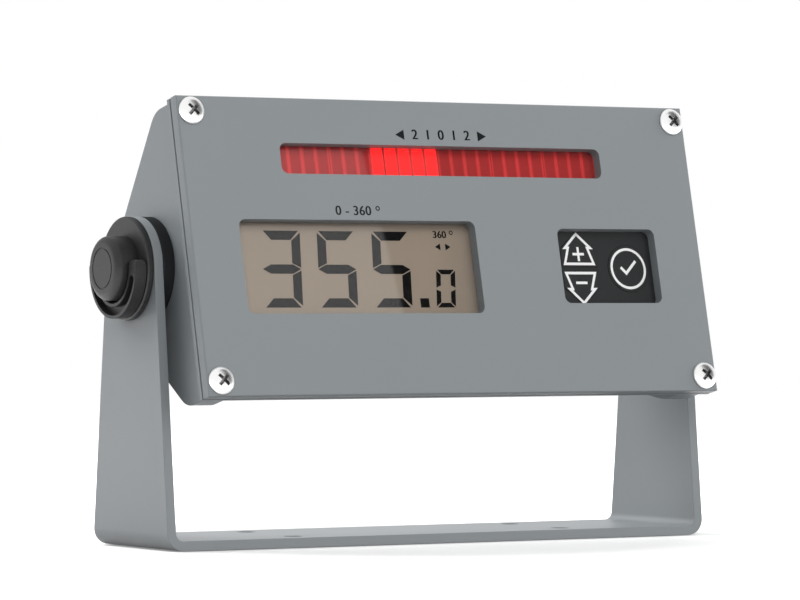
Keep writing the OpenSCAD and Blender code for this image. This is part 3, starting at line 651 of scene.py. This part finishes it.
def numerals(name, text, u, v, height, front, back):
    """Mesh of plain numerals, centred at (u, v) on the panel and struck three times to make them bold."""
    curve = bpy.data.curves.new(name, "FONT")
    curve.body = text
    curve.align_x = "CENTER"
    curve.align_y = "CENTER"
    curve.size = height / NUMERAL_HEIGHT
    curve.space_character = NUMERAL_SPACING
    curve.extrude = (back - front) / 2
    holder = put_object(name, curve)
    mesh = evaluated_mesh(holder)
    bpy.data.objects.remove(holder)
    bpy.data.curves.remove(curve)
    strikes = []
    for shift in (-STRIKE_SHIFT, 0, STRIKE_SHIFT):
        strike = mesh.copy()
        for vertex in strike.vertices:
            x, y, z = vertex.co
            vertex.co = on_panel(u + x + shift, v + y, (front + back) / 2 - z)
        strikes.append(strike)
    bpy.data.meshes.remove(mesh)
    return joined(name, strikes)


# Lid screws

def lathe(profile, steps):
    """Solid of revolution about z from (radius, height) points that start and end on the axis."""
    made = bmesh.new()
    rings = []
    for radius, height in profile:
        if radius == 0:
            rings.append([made.verts.new((0, 0, height))])
        else:
            rings.append([made.verts.new((x, y, height)) for x, y in circle(0, 0, radius, steps)])
    for low, high in zip(rings, rings[1:]):
        for i in range(steps):
            k = (i + 1) % steps
            if len(low) == 1:
                made.faces.new((low[0], high[i], high[k]))
            elif len(high) == 1:
                made.faces.new((low[i], high[0], low[k]))
            else:
                made.faces.new((low[i], high[i], high[k], low[k]))
    bmesh.ops.recalc_face_normals(made, faces=made.faces)
    return made


def taper_block(length, width, top, bottom, share):
    """Block from height bottom to top whose lower end is drawn in to a share of its size."""
    made = bmesh.new()
    rings = [[made.verts.new((sx * length / 2 * k, sy * width / 2 * k, z))
              for sx, sy in ((-1, -1), (1, -1), (1, 1), (-1, 1))]
             for z, k in ((top, 1), (bottom, share))]
    made.faces.new(rings[0])
    made.faces.new(rings[1])
    for i in range(4):
        k = (i + 1) % 4
        made.faces.new((rings[0][i], rings[0][k], rings[1][k], rings[1][i]))
    bmesh.ops.recalc_face_normals(made, faces=made.faces)
    return made


def carve(body, cutters):
    """Mesh of a body with cutters taken away, one after another."""
    holder = put_object("carved", body)
    tools = []
    for cutter in cutters:
        tool = put_object("carver", cutter)
        cut = holder.modifiers.new("cut", "BOOLEAN")
        cut.operation = "DIFFERENCE"
        cut.solver = "EXACT"
        cut.material_mode = "INDEX"
        cut.object = tool
        tools.append(tool)
    result = evaluated_mesh(holder)
    for item in (holder, *tools):
        bpy.data.objects.remove(item)
    return result


def give_screw_finishes(mesh):
    """Bright steel in slot 0, and in slot 1 the steel of the recess, painted darker as shade in the hollow."""
    for name in ("stainless", "screw_recess_painted_shade"):
        mesh.materials.append(finishes[name])


def screw_mesh():
    """Pan-head screw with a cross recess. Its head points along +z and its seat is at zero."""
    angles = [math.pi / 2 * i / DOME_STEPS for i in range(DOME_STEPS)]
    dome = [(SCREW_HEAD_R * math.cos(a), SCREW_CROWN + (SCREW_HEAD_H - SCREW_CROWN) * math.sin(a))
            for a in angles]
    shank = [(0, -SCREW_LENGTH), (SCREW_SHANK_R * SCREW_TIP_SHARE, -SCREW_LENGTH),
             (SCREW_SHANK_R, SCREW_TIP - SCREW_LENGTH), (SCREW_SHANK_R, 0)]
    rim = [(SCREW_HEAD_R - SCREW_RIM, 0), (SCREW_HEAD_R, SCREW_RIM)]
    body = finished_mesh("screw_body", lathe(shank + rim + dome + [(0, SCREW_HEAD_H)], SCREW_STEPS))
    give_screw_finishes(body)
    cutters = []
    for turn in RECESS_TURNS:
        wing = taper_block(RECESS_REACH, RECESS_WING, SCREW_HEAD_H + RECESS_OVERRUN,
                           SCREW_HEAD_H - RECESS_DEPTH, RECESS_FOOT_SHARE)
        spin = Matrix.Rotation(math.radians(turn), 3, "Z")
        bmesh.ops.rotate(wing, cent=(0, 0, 0), matrix=spin, verts=wing.verts)
        cutter = finished_mesh("wing", wing)
        give_screw_finishes(cutter)
        # The recess walls take slot 1, the darker steel that is painted as shade.
        for face in cutter.polygons:
            face.material_index = 1
        cutters.append(cutter)
    return carve(body, cutters)


def screw_places():
    """The four screws' places on the panel, from the CAD screws."""
    across, up = span("lid_screws", RIGHT), span("lid_screws", UP)
    u = (across[1] - across[0]) / 2 / MM - SCREW_HEAD_R
    v = (up[1] - up[0]) / 2 / MM - SCREW_HEAD_R
    return [(su * u, sv * v) for su in (-1, 1) for sv in (-1, 1)]


def build_lid_screws():
    """Four cross-recess screws in place of the CAD screws."""
    single = screw_mesh()
    # The screw's z axis points out of the lid.
    turn = Matrix((RIGHT, UP, -INWARD)).transposed().to_4x4()
    made = bmesh.new()
    for u, v in screw_places():
        copy = single.copy()
        copy.transform(Matrix.Translation(on_panel(u, v)) @ turn @ Matrix.Scale(MM, 4))
        made.from_mesh(copy)
        bpy.data.meshes.remove(copy)
    mesh = finished_mesh("lid_screws_crossed", made)
    give_screw_finishes(mesh)
    piece = add_piece("lid_screws_crossed", mesh, "housing")
    soften(piece, SCREW_EDGE)
    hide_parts("lid_screws")


# Number display

def segment_shapes(digit):
    """The seven segments of an upright digit: mitred corners with a small cut, and a pointed middle."""
    w, h, across, along, cut = (digit[name] for name in ("width", "height", "across", "along", "cut"))
    g = digit["gap"] / 2
    rise = g * SIDE_GAP_SHARE
    half = h / 2
    top = [(w - cut, h), (cut, h), (across + g, h - along), (w - across - g, h - along)]
    right = [(w, h - cut), (w - across, h - along - g), (w - across, half + along / 2 + rise),
             (w, half + rise)]
    middle = [(0, half), (across - g, half + along / 2), (w - across + g, half + along / 2), (w, half),
              (w - across + g, half - along / 2), (across - g, half - along / 2)]

    def flip_x(shape):
        return [(w - x, y) for x, y in reversed(shape)]

    def flip_y(shape):
        return [(x, h - y) for x, y in reversed(shape)]

    return {"a": top, "b": right, "c": flip_y(right), "d": flip_y(top), "e": flip_x(flip_y(right)),
            "f": flip_x(right), "g": middle}


def digit_shapes(text, left, foot, digit):
    """The lit segments of a leaning digit, from its left foot."""
    shapes = segment_shapes(digit)
    lean = digit["slant"] / digit["height"]
    return [[(left + x + lean * y, foot + y) for x, y in shapes[name]] for name in SEGMENTS[text]]


def build_lcd_digits():
    """The heading's digits and point, and the small signs beside them."""
    u, v, back = panel_middle("lcd_glass")
    front = back - LCD_INK_T
    shapes = []
    for left, text, digit in HEADING:
        shapes += digit_shapes(text, u + left, v + DIGIT_FOOT, digit)
    point_u, point_v, point_w, point_h = POINT
    shapes.append(bar_shape(u + point_u, v + point_v, point_w, point_h))
    add_piece("lcd_digits", plate_mesh("lcd_digits", shapes, front, back), "housing", "lcd_ink")
    signs = joined("lcd_signs", [
        numerals("lcd_range", LCD_RANGE["text"], u + LCD_RANGE["u"], v + LCD_RANGE["v"],
                 LCD_RANGE["height"], front, back),
        degree_sign("lcd_degree", u + LCD_DEGREE["u"], v + LCD_DEGREE["v"], LCD_DEGREE["radius"],
                    LCD_DEGREE["line"], front, back),
        plate_mesh("lcd_marks", [shifted(mark, u, v) for mark in LCD_MARKS], front, back)])
    add_piece("lcd_signs", signs, "housing", "lcd_ink")


# Printed marks

def arrow_outline(u, v, direction):
    """Outline of an arrow key's print, counter-clockwise, pointing up or down from the middle of the pair."""
    right = [(0, ARROW_TIP)] + list(ARROW_HALF)
    shape = [(-x, y) for x, y in right] + [(x, y) for x, y in reversed(right[1:])]
    placed = [(u + x, v + direction * y) for x, y in shape]
    return placed if direction > 0 else list(reversed(placed))


def build_key_prints():
    """White outlines and signs on the three keys."""
    pair_u = panel_middle("key_up")[0]
    pair_v = panel_middle("keypad_overlay")[1]
    for node, body, direction in (("key_up", "up_key", 1), ("key_down", "down_key", -1)):
        d = panel_middle(node)[2]
        outline = band(arrow_outline(pair_u, pair_v, direction), KEY_LINE)
        sign = [bar_shape(pair_u, pair_v + rise, width, height) for rise, width, height in KEY_SIGNS[node]]
        mesh = joined(node + "_print", [plate_mesh("outline", outline, d - INK_T, d),
                                        plate_mesh("sign", sign, d - INK_T, d)])
        add_piece(node + "_print", mesh, body, "key_ink")
    u, v, d = panel_middle("key_set")
    mesh = joined("key_set_print", [
        plate_mesh("ring", band(circle(u, v, RING_R, RING_STEPS), KEY_LINE), d - INK_T, d),
        plate_mesh("tick", [shifted(TICK, u, v)], d - INK_T, d)])
    add_piece("key_set_print", mesh, "set_key", "key_ink")


def build_lid_prints():
    """The turn scale with its arrows, and the range of the heading."""
    bar_u, bar_v, _ = panel_middle("bar_filter")
    mid_v = bar_v + SCALE_RISE
    half = SCALE_ARROW["half"]
    marks = []
    for side in (-1, 1):
        tip = bar_u + side * SCALE_ARROW["tip"]
        base = tip - side * SCALE_ARROW["length"]
        marks.append([(tip, mid_v), (base, mid_v + half), (base, mid_v - half)])
    parts = [plate_mesh("arrows", marks, -INK_T, 0)]
    for text, u in SCALE_NUMERALS:
        parts.append(numerals("turn_scale", text, bar_u + u, mid_v, SCALE_HEIGHT, -INK_T, 0))
    mesh = joined("turn_scale_print", parts)
    add_piece("turn_scale_print", mesh, "housing", "legend_ink")

    lcd_u, lcd_v, _ = panel_middle("lcd_window")
    label_v = lcd_v + RANGE_RISE
    mesh = joined("heading_range_print", [
        numerals("heading_range", RANGE_TEXT["text"], lcd_u + RANGE_TEXT["u"], label_v,
                 RANGE_TEXT["height"], -INK_T, 0),
        degree_sign("degree", lcd_u + RANGE_DEGREE["u"], label_v + RANGE_DEGREE["v"],
                    RANGE_DEGREE["radius"], RANGE_DEGREE["line"], -INK_T, 0)])
    add_piece("heading_range_print", mesh, "housing", "legend_ink")


# Camera, light and stage

def build_camera():
    """The camera that took the photograph."""
    data = bpy.data.cameras.new("photo_camera")
    data.sensor_width = SENSOR_W
    data.lens = LENS
    data.shift_y = LENS_SHIFT
    data.clip_start, data.clip_end = CAMERA_CLIP
    camera = put_object("photo_camera", data)
    camera.location = CAMERA_PLACE
    camera.rotation_euler = [math.radians(turn) for turn in CAMERA_TURN]
    bpy.context.scene.camera = camera
    return camera


def build_world():
    """White studio for the eye and for gloss, and a dim fill for matt surfaces."""
    world = bpy.data.worlds.new("studio")
    bpy.context.scene.world = world
    world.use_nodes = True
    tree = world.node_tree
    tree.nodes.clear()
    path = tree.nodes.new("ShaderNodeLightPath").outputs
    seen = math_node(tree, "MAXIMUM", path["Is Camera Ray"], path["Is Glossy Ray"])
    seen = math_node(tree, "MAXIMUM", seen, path["Is Transmission Ray"])
    # Light that has met a matt surface on its way is only the dim fill of the room.
    seen = math_node(tree, "MULTIPLY", seen, math_node(tree, "LESS_THAN", path["Diffuse Depth"], UNBOUNCED))
    ambient = add_node(tree, "ShaderNodeBackground", {"Color": AMBIENT_COLOR, "Strength": AMBIENT})
    white = add_node(tree, "ShaderNodeBackground", {"Color": WHITE, "Strength": 1.0})
    mixed = add_node(tree, "ShaderNodeMixShader", {0: seen, 1: ambient.outputs[0], 2: white.outputs[0]})
    tree.links.new(mixed.outputs[0], tree.nodes.new("ShaderNodeOutputWorld").inputs["Surface"])


def add_softbox(name, place, size, energy):
    """Square lamp that lights the product but doesn't show in its gloss."""
    data = bpy.data.lights.new(name, "AREA")
    data.shape = "RECTANGLE"
    data.size = data.size_y = size
    data.energy = energy
    lamp = put_object(name, data)
    lamp.location = place
    lamp.rotation_euler = (Vector(LAMP_AIM) - Vector(place)).to_track_quat("-Z", "Y").to_euler()
    lamp.visible_glossy = False
    lamp.visible_transmission = False


def bare_material(name):
    """Material without nodes, for a stage piece."""
    material = bpy.data.materials.new(name)
    material.use_nodes = True
    material.node_tree.nodes.clear()
    return material


def matt(tree, level):
    """Matt grey shader."""
    return add_node(tree, "ShaderNodeBsdfDiffuse", {"Color": (level, level, level, 1)}).outputs[0]


def glow(tree, level):
    """White light of a strength."""
    return add_node(tree, "ShaderNodeEmission", {"Color": WHITE, "Strength": level}).outputs[0]


def build_floor():
    """Round white floor that takes the shadow and runs out into the studio."""
    made = bmesh.new()
    bmesh.ops.create_circle(made, cap_ends=True, segments=FLOOR_STEPS, radius=FLOOR_R)
    mesh = finished_mesh("floor", made)
    floor = put_object("floor", mesh)
    floor.location = (0, 0, -FLOOR_DROP)
    material = bare_material("floor_white")
    tree = material.node_tree
    away = add_node(tree, "ShaderNodeVectorMath", {0: object_place(tree)},
                    operation="LENGTH").outputs["Value"]
    level = add_node(tree, "ShaderNodeMapRange", {
        "Value": away, "From Min": FLOOR_GLOW_R[0], "From Max": FLOOR_GLOW_R[1],
        "To Min": FLOOR_GLOW[0], "To Max": FLOOR_GLOW[1]}).outputs[0]
    shown = add_node(tree, "ShaderNodeAddShader", {0: matt(tree, FLOOR_ALBEDO), 1: glow(tree, level)})
    # What the floor gives back to the object, with a little light of its own for the underside.
    bounce = add_node(tree, "ShaderNodeAddShader", {0: matt(tree, FLOOR_BOUNCE), 1: glow(tree, FLOOR_UNDER)})
    path = tree.nodes.new("ShaderNodeLightPath").outputs
    mirrored = math_node(tree, "MULTIPLY", path["Is Glossy Ray"],
                         math_node(tree, "LESS_THAN", path["Diffuse Depth"], UNBOUNCED))
    seen = add_node(tree, "ShaderNodeMixShader", {
        0: math_node(tree, "MAXIMUM", path["Is Camera Ray"], mirrored),
        1: bounce.outputs[0], 2: shown.outputs[0]})
    # Far out, and from below, the floor gives way to the white studio.
    fade = add_node(tree, "ShaderNodeMapRange", {
        "Value": away, "From Min": FLOOR_R * FLOOR_FADE[0], "From Max": FLOOR_R * FLOOR_FADE[1]}).outputs[0]
    below = tree.nodes.new("ShaderNodeNewGeometry").outputs["Backfacing"]
    gone = math_node(tree, "MAXIMUM", fade, below)
    clear = tree.nodes.new("ShaderNodeBsdfTransparent")
    mixed = add_node(tree, "ShaderNodeMixShader", {0: gone, 1: seen.outputs[0], 2: clear.outputs[0]})
    tree.links.new(mixed.outputs[0], tree.nodes.new("ShaderNodeOutputMaterial").inputs["Surface"])
    mesh.materials.append(material)


def build_dark_card(camera):
    """Dark studio card that only gloss and glass see: the panes mirror its edge across the display."""
    eye = camera.location
    normal = -INWARD

    def mirrored(u, v):
        place = on_panel(u, v, PANE_DEPTH)
        look = (place - eye).normalized()
        return place + (look - 2 * look.dot(normal) * normal) * CARD_REACH

    (top_u, top_v), foot_place = CARD_EDGE
    top, foot = mirrored(top_u, top_v), mirrored(*foot_place)
    along = (top - foot).normalized()
    outward = mirrored(top_u + CARD_SIDE_STEP, top_v) - top
    outward = (outward - outward.dot(along) * along).normalized()
    low, high = foot - along * CARD_BELOW, top + along * CARD_ABOVE
    corners = [low, low + outward * CARD_W, high + outward * CARD_W, high]
    mesh = bpy.data.meshes.new("dark_card")
    mesh.from_pydata([tuple(corner) for corner in corners], [], [(0, 1, 2, 3)])
    card = put_object("dark_card", mesh)
    material = bare_material("dark_card")
    tree = material.node_tree
    # The card darkens over a few millimetres from its edge, so its mirror image has no jagged line.
    edge = add_node(tree, "ShaderNodeVectorMath", {0: object_place(tree), 1: tuple(foot)},
                    operation="SUBTRACT").outputs[0]
    across = add_node(tree, "ShaderNodeVectorMath", {0: edge, 1: tuple(outward)},
                      operation="DOT_PRODUCT").outputs["Value"]
    soft = add_node(tree, "ShaderNodeMapRange", {
        "Value": across, "From Min": 0.0, "From Max": CARD_SOFT}, interpolation_type="SMOOTHSTEP").outputs[0]
    level = math_node(tree, "SUBTRACT", 1.0, math_node(tree, "MULTIPLY", soft, 1.0 - CARD_LEVEL))
    tree.links.new(glow(tree, level), tree.nodes.new("ShaderNodeOutputMaterial").inputs["Surface"])
    mesh.materials.append(material)
    card.visible_camera = False
    card.visible_diffuse = False
    card.visible_shadow = False
    card.visible_volume_scatter = False


dress_nodes()
build_lid_screws()
build_lcd_digits()
build_key_prints()
build_lid_prints()
photo_camera = build_camera()
build_world()
build_floor()
build_dark_card(photo_camera)
for lamp_name, (lamp_place, lamp_size, lamp_energy) in LAMPS.items():
    add_softbox(lamp_name, lamp_place, lamp_size, lamp_energy)

bpy.context.scene.view_settings.view_transform = "Standard"
